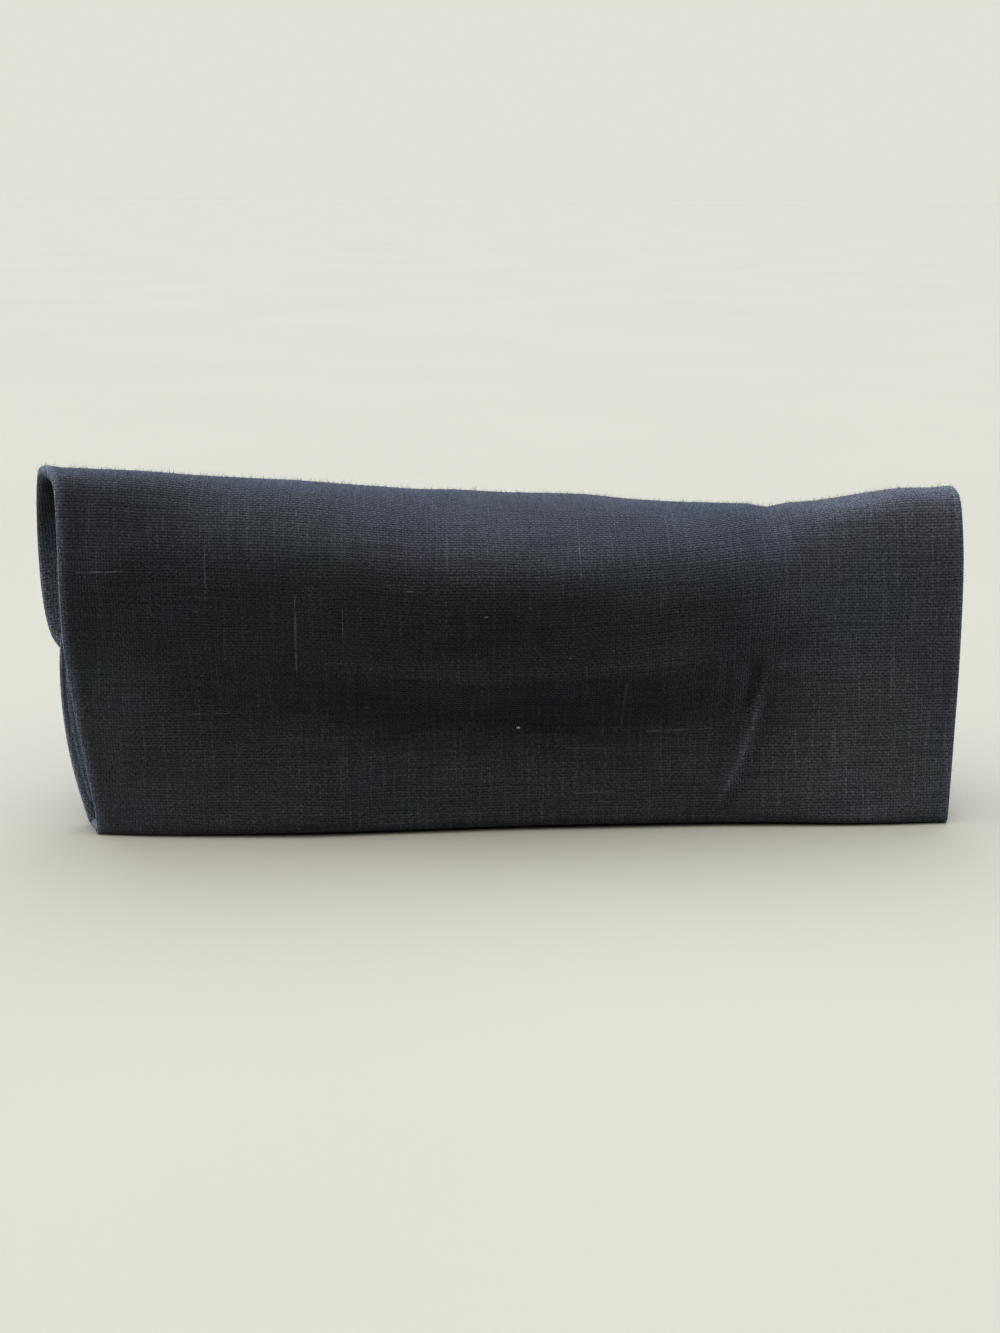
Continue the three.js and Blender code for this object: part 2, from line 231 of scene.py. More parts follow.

# Soft creases on the cloth, from (x0, v0) to (x1, v1). bow: how far the middle strays from a straight line.
# height: ridge, or trough if below 0. width: reach to each side. rub: how pale the ridge is made, by wear
# and by a painted highlight.
CREASES = table(
    "x0 v0 x1 v1 bow height width rub",
    (58.4, 39.0, 45.0, 0.5, 2.1, 1.1, 1.4, 0.55),  # slanted crease low on the right, its ridge with a painted highlight
    (55.7, 42.5, 53.6, 26.0, 0.5, -1.5, 2.4, 0),  # hollow by its top
    (51.5, 26.0, 45.0, 8.0, 0.8, -0.5, 2.4, 0),  # hollow on its left
    (58.5, 28.0, 52.5, 6.0, 1.0, -0.5, 2.4, 0),  # hollow on its right
    (59.5, 39.0, 68.0, 40.0, 0.0, 0.4, 1.0, 0.3),  # short nick that runs off its top, with a painted highlight
    (-44.0, 33.6, 34.0, 33.6, -0.5, -0.5, 4.0, 0),  # trough under the sagging fold
    (-66.0, 43.0, -32.0, 35.4, -1.2, -0.8, 2.8, 0),  # its left end, turned up
    (16.0, 35.6, 50.0, 39.0, -1.2, -0.7, 2.8, 0),  # its right end
    (-52.0, 42.4, 38.0, 42.4, -2.4, 0.7, 3.0, 0),  # crest above it
    (62.0, 66.0, 62.0, 112.0, 0.0, -1.0, 3.6, 0),  # nick in the top and the fold that runs down from it
    (74.0, 84.0, 84.0, 60.0, 1.0, 0.5, 6.0, 0),  # soft swell beside it
    (-98.0, 84.0, -84.0, 52.0, 2.0, -0.5, 7.0, 0),  # slack by the left end
    (-121.5, 90.0, -119.0, 156.0, 0.0, 2.4, 3.8, 0),  # side of the flap, turned out
    (-116.5, -84.0, -111.0, -24.0, 0.0, 1.8, 3.8, 0),  # side of the far panel, turned out
    (-96.0, 112.0, -34.0, 148.0, 5.0, 1.7, 7.0, 0),  # pull across the flap from the left
    (-84.0, 124.0, -52.0, 150.0, 3.0, -1.1, 5.5, 0),  # hollow under it
    (88.0, 108.0, 40.0, 142.0, -5.0, 1.6, 7.0, 0),  # pull across the flap from the right
    (78.0, 124.0, 52.0, 146.0, -2.0, -1.0, 5.5, 0),  # hollow under it
    (-20.0, 108.0, 8.0, 152.0, 5.0, -1.5, 8.0, 0),  # slack down the flap's middle
    (16.0, 122.0, 30.0, 152.0, -3.0, 1.0, 6.0, 0),  # swell beside it
    (-70.0, -58.0, -20.0, -46.0, 2.0, 1.0, 6.5, 0),  # swell on the far panel
    (30.0, -50.0, 80.0, -60.0, 2.0, -0.9, 6.5, 0),  # slack on the far panel
)

# Zones of painted light and shade: the colour made paler, or darker if amount is below 0, where light falls
# brighter or dimmer on it: none of it at x0 and v0, and all of it at x1 and v1. v is taken either way from
# the toe. Numbers past the cloth's ends take in all of x or v. The zones add up.
PAINTED_LIGHT_ZONES = table(
    "x0 x1 v0 v1 amount",
    (48, 84, 300, 200, 0.48),  # right end, painted light
    (-300, -200, 38, 0, 0.32),  # foot, painted light
    (-62, -104, 60, 12, 0.2),  # left corner of the foot, painted light
    (66, 96, 60, 84, 0.5),  # right shoulder, painted light
    (52, 0, 74, 60, -0.2),  # painted shade under the top
    (52, 0, 52, 38, 0.2),  # which ends at the sagging fold
)

# Slubs and nubs: thick stretches of yarn, from (x0, v0) to (x1, v1). thick: how wide. pale: 0 for dyed yarn,
# 1 for white lint.
SLUBS = table(
    "x0 v0 x1 v1 thick pale",
    (-56.2, 62.0, -56.4, 37.0, 1.0, 0),
    (-109.0, 64.9, -95.0, 65.7, 1.05, 0),
    (27.0, 23.4, 47.5, 24.0, 1.1, 0),
    (23.3, 40.0, 22.8, 22.5, 1.05, 0),
    (18.2, 33.0, 18.3, 21.5, 0.85, 0),
    (6.0, 19.4, 22.4, 19.2, 0.75, 0),
    (10.5, 8.0, 22.5, 8.3, 0.75, 0),
    (-77.2, 74.0, -77.2, 58.0, 0.5, 0),
    (-45.0, 59.0, -45.2, 46.0, 0.5, 0),
    (63.0, 71.0, 62.8, 55.0, 0.5, 0),
    (74.0, 69.0, 74.0, 56.0, 0.5, 0),
    (-20.0, 84.0, -20.2, 66.0, 0.5, 0),
    (12.0, 88.0, 11.8, 64.0, 0.5, 0),
    (34.0, 86.0, 34.0, 70.0, 0.5, 0),
    (-88.0, 30.0, -70.0, 30.2, 0.5, 0),
    (64.0, 48.0, 86.0, 48.3, 0.5, 0),
    (-30.0, 120.0, -29.6, 142.0, 0.9, 0),
    (40.0, 128.0, 66.0, 127.6, 0.9, 0),
    (-84.0, 132.0, -62.0, 131.8, 0.85, 0),
    (8.0, -44.0, 8.2, -66.0, 0.9, 0),
    (-60.0, -60.0, -38.0, -60.3, 0.85, 0),
    (-3.3, 24.7, -2.1, 24.7, 1.2, 0.9),
    (-11.5, 56.8, -10.4, 56.9, 0.95, 0.12),
    (-40.8, 31.5, -39.3, 31.6, 1.2, 0.03),
    (-11.7, 11.6, -10.7, 11.5, 0.95, 0.05),
    (-29.8, 62.5, -28.2, 62.5, 1.1, 0.02),
    (8.8, 46.1, 9.8, 46.0, 0.95, 0.04),
    (-79.8, 40.2, -78.3, 40.3, 1.0, 0),
    (-80.4, 56.1, -78.9, 56.1, 1.0, 0),
)

# Soft lights: the way to each one, its spread in degrees and its colour.
LIGHTS = {
    "far_light": ((0.0, 0.36, 1.0), 76, "#E6F1FF"),
    "near_light": ((0.0, -0.5, 1.0), 60, "#FFFFFF"),
    "left_light": ((-1.0, 0.02, 0.25), 40, "#FFFFFF"),
    "right_light": ((1.0, -0.2, 0.3), 40, "#FFFFFF"),
}

# The wrapped cloth on its mesh points. area: how much cloth each one stands for. Then the wear of its outer
# face, with a painted highlight on two crease ridges, and painted light on its inner face. fade: painted
# light and shade.
Cloth = namedtuple("Cloth", "outer inner normal x v area wear inner_wear fade")


def mix(a, b, share):
    """From a, where share is 0, to b, where it is 1, in a straight line."""
    return a + (b - a) * share


def unit(vectors):
    """The vectors, each at length 1."""
    return vectors / np.linalg.norm(vectors, axis=-1, keepdims=True)


def smooth_step(low, high, value):
    """0 up to low, 1 from high on and a smooth rise between, either way round: 3t^2 - 2t^3."""
    t = np.clip((value - low) / (high - low), 0, 1)
    return t * t * (3 - 2 * t)


def stations_at(share):
    """The columns of STATIONS at shares of the width, on cubic curves with mean slopes at the stations."""
    at = STATIONS["at"]
    i = np.clip(np.searchsorted(at, share, side="right") - 1, 0, len(at) - 2)
    span = at[i + 1] - at[i]
    t = (share - at[i]) / span
    found = {}
    for key, values in STATIONS.items():
        rise = np.diff(values) / np.diff(at)
        slope = np.concatenate([rise[:1], (rise[:-1] + rise[1:]) / 2, rise[-1:]])
        found[key] = (
            (2 * t**3 - 3 * t**2 + 1) * values[i]
            + (t**3 - 2 * t**2 + t) * span * slope[i]
            + (3 * t**2 - 2 * t**3) * values[i + 1]
            + (t**3 - t**2) * span * slope[i + 1]
        )
    return {key: value[..., None] for key, value in found.items()}


def section_lines(share):
    """Control points of the sections at shares of the width: tables' shares times the stations' sizes."""
    s = stations_at(share)
    x = mix(LEFT, RIGHT, share[..., None])
    y = np.concatenate(
        [
            FAR_PANEL["belly"] * s["depth"] + FAR_PANEL["foot"] * s["floor"] + FAR_PANEL["lean"] * s["tilt"],
            FLOOR["foot"] * s["floor"],
            FRONT["up"] * s["tilt"] + FRONT["give"] * s["sag"] + FRONT["round"] * s["shoulder"],
            s["tilt"] + s["shoulder"] + FLAP["over"] * s["fold"],
        ],
        axis=-1,
    )
    z = np.concatenate(
        [
            FAR_PANEL["up"] * s["height"],
            np.zeros_like(FLOOR["foot"] * s["floor"]),
            FRONT["up"] * s["height"] - FRONT["drop"] * s["sag"],
            FLAP["up"] * s["height"],
        ],
        axis=-1,
    )
    return np.stack([x, y + s["front"], z], axis=-1)


def spline(lines, row):
    """A uniform cubic B-spline along control lines, padded at both ends, at places counted in rows."""
    padded = np.concatenate([2 * lines[..., :1, :] - lines[..., 1:2, :], lines], axis=-2)
    padded = np.concatenate([padded, 2 * lines[..., -1:, :] - lines[..., -2:-1, :]], axis=-2)
    first = np.clip(np.floor(row).astype(int), 0, ROWS - 2)
    t = (row - first)[..., None]
    weights = ((1 - t) ** 3, 3 * t**3 - 6 * t**2 + 4, -3 * t**3 + 3 * t**2 + 3 * t + 1, t**3)
    picks = (np.take_along_axis(padded, (first + k)[..., None, None], -2)[..., 0, :] for k in range(4))
    return sum(weight * pick for weight, pick in zip(weights, picks)) / 6


def cloth_point(share, row):
    """Points of the cloth's plain outer face: share runs along the width, row along the section."""
    return spline(section_lines(share), row)


def outward(surface, a, b):
    """The unit normal of a surface of two parameters: the cross product of its two slopes."""
    along = surface(a + SLOPE_STEP, b) - surface(a - SLOPE_STEP, b)
    across = surface(a, b + SLOPE_STEP) - surface(a, b - SLOPE_STEP)
    return unit(np.cross(along, across))


def crease_relief(x, v):
    """Height and paleness of all creases: each a bell across its line, which fades out at both ends.

    The line bows as a parabola, and the bell of the paleness, wear and a painted highlight, is half as wide.
    """
    relief = np.zeros_like(x)
    rubbed = np.zeros_like(x)
    bare, full = CREASE_FADE
    for x0, v0, x1, v1, bow, height, width, rub_and_highlight in zip(*CREASES.values()):
        length = math.hypot(x1 - x0, v1 - v0)
        along_x, along_v = (x1 - x0) / length, (v1 - v0) / length
        t = ((x - x0) * along_x + (v - v0) * along_v) / length
        across = (v - v0) * along_x - (x - x0) * along_v - 4 * bow * t * (1 - t)
        fade = smooth_step(bare, full, t) * smooth_step(1 - bare, 1 - full, t)
        relief += height * fade * np.exp(-((across / width) ** 2))
        # The pale ridge: wear, and a painted highlight.
        rubbed += rub_and_highlight * fade * np.exp(-((2 * across / width) ** 2))
    return relief, rubbed


def painted_light_and_shade(x, v):
    """Painted light and shade, paler or darker: a sum of zones, each a smooth step along x times one along
    v.
    """
    paler = np.zeros_like(x)
    for x0, x1, v0, v1, amount in zip(*PAINTED_LIGHT_ZONES.values()):
        paler += amount * smooth_step(x0, x1, x) * smooth_step(v0, v1, abs(v))
    return paler


def slack_relief(x, v, amount):
    """Unevenness of soft cloth: a sum of seeded waves in all directions, the longer the higher.

    amount is its root mean square.
    """
    rng = np.random.default_rng(SLACK_SEED)
    turn = rng.uniform(0, math.pi, SLACK_WAVES)
    length = rng.uniform(*SLACK_SPANS, SLACK_WAVES)
    phase = rng.uniform(0, 2 * math.pi, SLACK_WAVES)
    total = np.zeros_like(x)
    for angle, span, start in zip(turn, length, phase):
        total += span * np.cos(2 * math.pi * (x * math.cos(angle) + v * math.sin(angle)) / span + start)
    return amount * total / math.sqrt(np.sum(length**2) / 2)


def spread_places(edge_steps, length, pitch):
    """Places from 0 to length: the given fine steps at both ends, and an even pitch between them."""
    near = np.array(edge_steps)
    inner = np.linspace(near[-1], length - near[-1], int(round((length - 2 * near[-1]) / pitch)) + 1)
    return np.concatenate([near[:-1], inner, length - near[-2::-1]])


def wrap_grid(sizes):
    """Shares of the width and rows of the section where the wrapped cloth has its mesh points."""
    places = spread_places(EDGE_STEPS, FRONT_WIDTH, sizes.column_pitch / MM)
    fine = np.arange(*FINE_COLUMNS) - FRONT["left"][0]
    before = places[places < fine[0] - FINE_MARGIN]
    after = places[places > fine[-1] + FINE_MARGIN]
    shares = np.concatenate([before, fine, after]) / FRONT_WIDTH
    rows = spread_places(HEM_STEPS, ROWS - 1, 1 / sizes.steps_per_row)
    return shares, rows


def half_thickness(share, row, side, end, sizes):
    """Half the cloth's thickness: it grows at the hems as a bell, and the very edge is a quarter circle."""
    reach = sizes.hem_width / MM
    standing = np.interp(row, np.arange(ROWS), HEM) * mix(1, RIGHT_HEM, share)
    hem = standing * np.exp(-((side / reach) ** 2))
    hem = np.maximum(hem, sizes.mouth_hem / MM * np.exp(-((end / reach) ** 2)))
    swollen = sizes.sheet / MM / 2 + hem
    inward = np.minimum(np.minimum(side, end) / swollen, 1)
    return swollen * mix(sizes.edge_share, 1, np.sqrt(1 - (1 - inward) ** 2))


def rubbed_hems_and_inner_light(share, v, side, end):
    """Wear on the outer face's edges, painted light on the inner face's sides: bells, weaker towards the
    right.
    """
    weaker = mix(1, RIGHT_HEM, share)
    outer = np.exp(-((np.minimum(side, end) / HEM_RUB_REACH) ** 2)) * weaker
    # Painted light on the inner face: all down the far panel's inside, and on the flap's inside only away
    # from the top fold, so painted shade stays under it.
    strength = np.where(v < 0, FAR_PANEL_PAINTED_LIGHT, FLAP_PAINTED_LIGHT * smooth_step(*FLAP_PAINTED_LIGHT_RISE, v))
    inner = strength * np.exp(-((side / INNER_PAINTED_LIGHT_REACH) ** 2)) * weaker
    return outer, inner


def wrap_cloth(sizes):
    """The wrapped cloth on a grid: its plain faces, moved along the normal by creases, slack and thickness.

    side and end are the distances from the nearest side edge and from the nearest of its two ends.
    """
    shares, rows = wrap_grid(sizes)
    share, row = np.meshgrid(shares, rows)
    point = cloth_point(share, row)
    normal = outward(cloth_point, share, row)
    x = point[..., 0]
    steps = np.linalg.norm(np.diff(point, axis=0), axis=-1)
    v = np.concatenate([np.zeros((1, len(shares))), np.cumsum(steps, axis=0)])
    end = np.minimum(v, v[-1] - v)
    toe = np.argmin(abs(rows - TOE_ROW))
    v = v - v[toe]
    width = np.linalg.norm(point[:, -1] - point[:, 0], axis=-1)[:, None]
    side = np.minimum(share, 1 - share) * width
    half = half_thickness(share, row, side, end, sizes)
    relief, crease_rub_and_highlight = crease_relief(x, v)
    free = smooth_step(*CREASE_RISE, point[..., 2])
    slack = free * smooth_step(*SLACK_RISE, side) * slack_relief(x, v, sizes.slack / MM)
    middle = free * relief + slack - sizes.sheet / MM / 2
    outer = point + normal * (middle + half)[..., None]
    inner = point + normal * (middle - half)[..., None]
    outer[..., 2] = np.maximum(outer[..., 2], 0)
    inner[..., 2] = np.maximum(inner[..., 2], 0)
    # Hem wear on the outer face and painted light on the inner face; then pale crease ridges, worn and
    # partly a painted highlight.
    wear, inner_wear = rubbed_hems_and_inner_light(share, v, side, end)
    wear = np.maximum(wear, crease_rub_and_highlight)
    step_up = np.linalg.norm(np.gradient(outer, axis=0), axis=-1)
    step_along = np.linalg.norm(np.gradient(outer, axis=1), axis=-1)
    # The last field is painted light and shade: zones where the colour is made paler or darker.
    return Cloth(outer, inner, normal, x, v, step_up * step_along, wear, inner_wear, painted_light_and_shade(x, v))


def gusset_point(across, up, mirrored, sizes):
    """Points in the middle of a gusset: across runs from the front to the far panel, up from foot to mouth.

    Its two edges follow the front and the far panel inside their hems, and a sine folds it inwards between.
    """
    valley = mix(sizes.valley_foot, sizes.valley_mouth, up) / MM * np.sin(math.pi * across)
    share = (sizes.gusset_inset / MM + valley) / FRONT_WIDTH
    share = 1 - share if mirrored else share
    clear = -(sizes.sheet + sizes.seam_gap + sizes.gusset / 2 + sizes.hem_room) / MM
    front_row = TOE_ROW + mix(*GUSSET_FRONT_ROWS, up)
    far_row = mix(*GUSSET_FAR_ROWS, up)
    front = cloth_point(share, front_row) + clear * outward(cloth_point, share, front_row)
    far = cloth_point(share, far_row) + clear * outward(cloth_point, share, far_row)
    return mix(front, far, ((1 - np.cos(math.pi * across)) / 2)[..., None])


def closed_sheet(outer, inner):
    """The points and quads of a closed sheet between two grids, with a rim between their edges."""
    rows, columns = outer.shape[:2]
    points = np.concatenate([outer.reshape(-1, 3), inner.reshape(-1, 3)])
    index = np.arange(rows * columns).reshape(rows, columns)
    a, b, c, d = index[:-1, :-1], index[:-1, 1:], index[1:, 1:], index[1:, :-1]
    face = np.stack([a, b, c, d], axis=-1).reshape(-1, 4)
    loop = np.concatenate([index[0, :-1], index[:-1, -1], index[-1, :0:-1], index[:0:-1, 0]])
    after = np.roll(loop, -1)
    start = rows * columns
    rim = np.stack([after, loop, loop + start, after + start], axis=-1)
    return points, np.concatenate([face, face[:, ::-1] + start, rim])


def add_piece(name, points, faces, material, uv=None, **attributes):
    """A smooth mesh object from arrays in the tables' millimetres, with its UV map in metres."""
    mesh = bpy.data.meshes.new(name)
    corners = faces.shape[1]
    mesh.vertices.add(len(points))
    mesh.vertices.foreach_set("co", ((points - ORIGIN) * MM).astype(np.float32).ravel())
    mesh.loops.add(faces.size)
    mesh.loops.foreach_set("vertex_index", faces.astype(np.int32).ravel())
    mesh.polygons.add(len(faces))
    mesh.polygons.foreach_set("loop_start", np.arange(0, faces.size, corners, dtype=np.int32))
    mesh.update(calc_edges=True)
    if uv is not None:
        layer = mesh.uv_layers.new(name="cloth")
        layer.uv.foreach_set("vector", (uv[faces.ravel()] * MM).astype(np.float32).ravel())
    for key, values in attributes.items():
        attribute = mesh.attributes.new(key, "FLOAT", "POINT")
        attribute.data.foreach_set("value", values.astype(np.float32))
    mesh.shade_smooth()
    if mesh.validate():
        raise RuntimeError(f"{name} has faces that don't hold")
    mesh.materials.append(material)
    piece = bpy.data.objects.new(name, mesh)
    bpy.context.scene.collection.objects.link(piece)
    return piece


def linear(code):
    """An sRGB hex colour as linear red, green and blue."""
    values = np.array([int(code[k : k + 2], 16) for k in (1, 3, 5)]) / 255
    curve = ((values + 0.055) / 1.055) ** 2.4
    return tuple(float(c) for c in np.where(values <= 0.04045, values / 12.92, curve))


def add_node(tree, kind, inputs=(), **settings):
    """Adds a node. settings are its own properties.

    inputs are values or sockets to link, in the order of its sockets or by their names or numbers.
    """
    node = tree.nodes.new(kind)
    for key, value in settings.items():
        setattr(node, key, value)
    filled = inputs.items() if isinstance(inputs, dict) else enumerate(inputs)
    for key, value in filled:
        if isinstance(value, bpy.types.NodeSocket):
            tree.links.new(value, node.inputs[key])
        else:
            node.inputs[key].default_value = value
    return node


def new_material(name):
    """An empty material and its node tree, or the one made before."""
    material = bpy.data.materials.get(name) or bpy.data.materials.new(name)
    material.use_nodes = True
    material.node_tree.nodes.clear()
    return material, material.node_tree


def woven_linen(look):
    """Washed indigo linen in plain weave: matt, uneven yarn, a faint pile that catches light, rubbed hems,
    and painted light.
    """
    material, tree = new_material("woven linen")
    node = partial(add_node, tree)

    # The cloth laid flat, with threads that stray a little.
    flat = node("ShaderNodeUVMap", uv_map="cloth").outputs["UV"]
    sway = node(
        "ShaderNodeTexNoise",
        {"Vector": flat, "Scale": 1 / look.yarn_run, "Detail": 2.0},
        noise_dimensions="2D",
    ).outputs["Color"]
    swayed = node(
        "ShaderNodeVectorMath", (sway, (look.sway, look.sway, 0), flat), operation="MULTIPLY_ADD"
    ).outputs[0]
    place = node("ShaderNodeSeparateXYZ", (swayed,)).outputs

    # Warp and weft: round yarns side by side, each with shades of its own along its run.
    yarns = []
    for across, along in (("X", "Y"), ("Y", "X")):
        count = node("ShaderNodeMath", (place[across], look.thread), operation="DIVIDE").outputs[0]
        number = node("ShaderNodeMath", (count,), operation="FLOOR").outputs[0]
        turn = node("ShaderNodeMath", (count, math.pi), operation="MULTIPLY").outputs[0]
        wave = node("ShaderNodeMath", (turn,), operation="SINE").outputs[0]
        run = node("ShaderNodeMath", (place[along], look.yarn_run), operation="DIVIDE").outputs[0]
        yarn = node("ShaderNodeCombineXYZ", (number, run)).outputs[0]
        shade = node(
            "ShaderNodeTexNoise",
            {"Vector": yarn, "Scale": YARN_GRAIN, "Detail": 2.0},
            noise_dimensions="2D",
        ).outputs["Fac"]
        rounded = node("ShaderNodeMath", (wave,), operation="ABSOLUTE").outputs[0]
        yarns.append((wave, rounded, shade))
    (warp_wave, warp_round, warp_shade), (weft_wave, weft_round, weft_shade) = yarns

    # Plain weave: warp and weft take turns on top.
    crossing = node("ShaderNodeMath", (warp_wave, weft_wave), operation="MULTIPLY").outputs[0]
    warp_over = node(
        "ShaderNodeMapRange", (crossing, -CROSSING, CROSSING), interpolation_type="SMOOTHSTEP"
    ).outputs[0]
    relief = node("ShaderNodeMix", {0: warp_over, 2: weft_round, 3: warp_round}).outputs[0]

    # Shade of the yarn on top, darker in the gaps and broken up by fluff.
    calm_weft = node("ShaderNodeMapRange", (weft_shade, 0, 1, *WEFT_SHADES)).outputs[0]
    calm_warp = node("ShaderNodeMapRange", (warp_shade, 0, 1, *WARP_SHADES)).outputs[0]
    rare = node("ShaderNodeMapRange", (warp_shade, *RARE_WARP, 0, RARE_GAIN)).outputs[0]
    bright_warp = node("ShaderNodeMath", (calm_warp, rare), operation="ADD").outputs[0]
    showing = node("ShaderNodeMapRange", (warp_over, 0, 1, *WARP_SHARE)).outputs[0]
    shade = node("ShaderNodeMix", {0: showing, 2: calm_weft, 3: bright_warp}).outputs[0]
    tone = node("ShaderNodeMapRange", (shade, *SHADE_RANGE)).outputs[0]
    gaps = node("ShaderNodeMapRange", (relief, 0, 1, *ROUND_SHADE)).outputs[0]
    tone = node("ShaderNodeMath", (tone, gaps), operation="MULTIPLY").outputs[0]
    fluff = node(
        "ShaderNodeTexNoise",
        {"Vector": flat, "Scale": 1 / look.thread, "Detail": 3.0},
        noise_dimensions="2D",
    ).outputs["Fac"]
    fluffy = node("ShaderNodeMapRange", (fluff, *FLUFF_RANGE, *FLUFF_SHADE)).outputs[0]
    tone = node("ShaderNodeMath", (tone, fluffy), operation="MULTIPLY").outputs[0]
    dyed = node(
        "ShaderNodeMix", {0: tone, 6: (*look.dark, 1), 7: (*look.light, 1)}, data_type="RGBA"
    ).outputs[2]

    # Large faded patches, and zones of painted light and shade.
    patch = node(
        "ShaderNodeTexNoise",
        {"Vector": flat, "Scale": 1 / look.patch, "Detail": 3.0},
        noise_dimensions="2D",
    ).outputs["Color"]
    faded = node(
        "ShaderNodeVectorMath", (patch, (PATCH_SPREAD,) * 3, (PATCH_LEAST,) * 3), operation="MULTIPLY_ADD"
    ).outputs[0]
    patched = node(
        "ShaderNodeMix", {0: 1.0, 6: dyed, 7: faded}, data_type="RGBA", blend_type="MULTIPLY"
    ).outputs[2]
    # Painted light and shade: zones where the colour is made paler or darker.
    fade = node("ShaderNodeAttribute", attribute_name="fade").outputs["Fac"]
    with_painted_light = node("ShaderNodeVectorMath", (patched, fade, patched), operation="MULTIPLY_ADD").outputs[0]

    # Hems and creases rubbed pale, with painted light mixed in: a highlight on two crease ridges, light on
    # the inner face by the sides and along the gussets' edges.
    wear = node("ShaderNodeAttribute", attribute_name="wear").outputs["Fac"]
    rubbed = node("ShaderNodeMath", (wear, look.wear_and_painted_light_strength), operation="MULTIPLY").outputs[0]
    rough_nap = node("ShaderNodeMapRange", (fluff, *FLUFF_RANGE, *FLUFF_WEAR)).outputs[0]
    worn_and_lit = node("ShaderNodeMath", (rubbed, rough_nap), operation="MULTIPLY").outputs[0]
    faint, pale = ((*(share * c for c in look.worn_and_lit), 1) for share in WORN_AND_LIT_TONES)
    worn_and_lit_colour = node("ShaderNodeMix", {0: tone, 6: faint, 7: pale}, data_type="RGBA").outputs[2]
    colour = node("ShaderNodeMix", {0: worn_and_lit, 6: with_painted_light, 7: worn_and_lit_colour}, data_type="RGBA").outputs[2]

    # Matt surface with the weave's relief and the pile's sheen.
    rough = node("ShaderNodeMapRange", (relief, 0, 1, *YARN_ROUGHNESS)).outputs[0]
    height = node("ShaderNodeMath", (tone, SHADE_RELIEF, relief), operation="MULTIPLY_ADD").outputs[0]
    bump = node(
        "ShaderNodeBump",
        {"Strength": look.bump, "Distance": BUMP_SHARE * look.thread, "Height": height},
    ).outputs["Normal"]
    shader = node(
        "ShaderNodeBsdfPrincipled",
        {
            "Base Color": colour,
            "Roughness": rough,
            "Normal": bump,
            "Specular IOR Level": 0.2,
            "Sheen Weight": look.sheen,
            "Sheen Roughness": 0.4,
            "Sheen Tint": (*look.pile, 1),
        },
    )
    node("ShaderNodeOutputMaterial", {"Surface": shader.outputs["BSDF"]})
    return material


def loose_yarn(look):
    """Flax in slubs and stray fibres: a little paler than the dyed cloth, dull, uneven along its length."""
    material, tree = new_material("loose linen yarn")
    node = partial(add_node, tree)
    place = node("ShaderNodeTexCoord").outputs["Object"]
    uneven = node(
        "ShaderNodeTexNoise", {"Vector": place, "Scale": LOOSE_CLOUDS / look.yarn_run, "Detail": 2.0}
    ).outputs["Fac"]
    tone = node("ShaderNodeMapRange", (uneven, *LOOSE_RANGE, 0, LOOSE_PALE)).outputs[0]
    dyed = node(
        "ShaderNodeMix", {0: tone, 6: (*look.light, 1), 7: (*look.worn_and_lit, 1)}, data_type="RGBA"
    ).outputs[2]
    # On slubs this attribute holds their share of white lint, with no wear or painted light.
    wear = node("ShaderNodeAttribute", attribute_name="wear").outputs["Fac"]
    colour = node("ShaderNodeMix", {0: wear, 6: dyed, 7: (*look.lint, 1)}, data_type="RGBA").outputs[2]
    shader = node(
        "ShaderNodeBsdfPrincipled", {"Base Color": colour, "Roughness": 0.95, "Specular IOR Level": 0.2}
    )
    node("ShaderNodeOutputMaterial", {"Surface": shader.outputs["BSDF"]})
    return material


def painted_board(look):
    """A matt painted board: pale and warm, with a faint cloudiness left by the brush."""
    material, tree = new_material("matt painted board")
    node = partial(add_node, tree)
    place = node("ShaderNodeTexCoord").outputs["Object"]
    cloud = node(
        "ShaderNodeTexNoise", {"Vector": place, "Scale": 1 / BOARD_CLOUD, "Detail": 4.0}
    ).outputs["Fac"]
    dim, bright = ((*(share * c for c in look.floor), 1) for share in BOARD_TONES)
    colour = node("ShaderNodeMix", {0: cloud, 6: dim, 7: bright}, data_type="RGBA").outputs[2]
    shader = node(
        "ShaderNodeBsdfPrincipled", {"Base Color": colour, "Roughness": 0.9, "Specular IOR Level": 0.05}
    )
    node("ShaderNodeOutputMaterial", {"Surface": shader.outputs["BSDF"]})
    return material


def grain(cloth, picked):
    """The unit directions along the width and up the cloth, at picked mesh points."""
    along = unit(np.gradient(cloth.outer, axis=1)).reshape(-1, 3)[picked]
    up = unit(np.gradient(cloth.outer, axis=0)).reshape(-1, 3)[picked]
    return along, up


def lay_on(cloth, x, v):
    """Places on the cloth's outer face, and the normals there: the nearest mesh point and its two slopes."""
    grid_x, grid_v = cloth.x.ravel(), cloth.v.ravel()
    nearest = np.argmin((grid_x - x[:, None]) ** 2 + (grid_v - v[:, None]) ** 2, axis=1)
    along, up = grain(cloth, nearest)
    normal = cloth.normal.reshape(-1, 3)[nearest]
    point = cloth.outer.reshape(-1, 3)[nearest]
    point = point + along * (x - grid_x[nearest])[:, None] + up * (v - grid_v[nearest])[:, None]
    return point, normal


def slub_skin():
    """The triangles of one slub: between neighbouring rings, and from the end rings to the two tips."""
    ring = np.arange(SLUB_RINGS * SLUB_SIDES).reshape(SLUB_RINGS, SLUB_SIDES)
    beside = np.roll(ring, -1, axis=1)
    tips = np.full((2, SLUB_SIDES), ring.size) + [[0], [1]]
    return np.concatenate(
        [
            np.stack([ring[:-1], beside[:-1], beside[1:]], axis=-1).reshape(-1, 3),
            np.stack([ring[:-1], beside[1:], ring[1:]], axis=-1).reshape(-1, 3),
            np.stack([tips[0], beside[0], ring[0]], axis=-1),
            np.stack([tips[1], ring[-1], beside[-1]], axis=-1),
        ]
    )


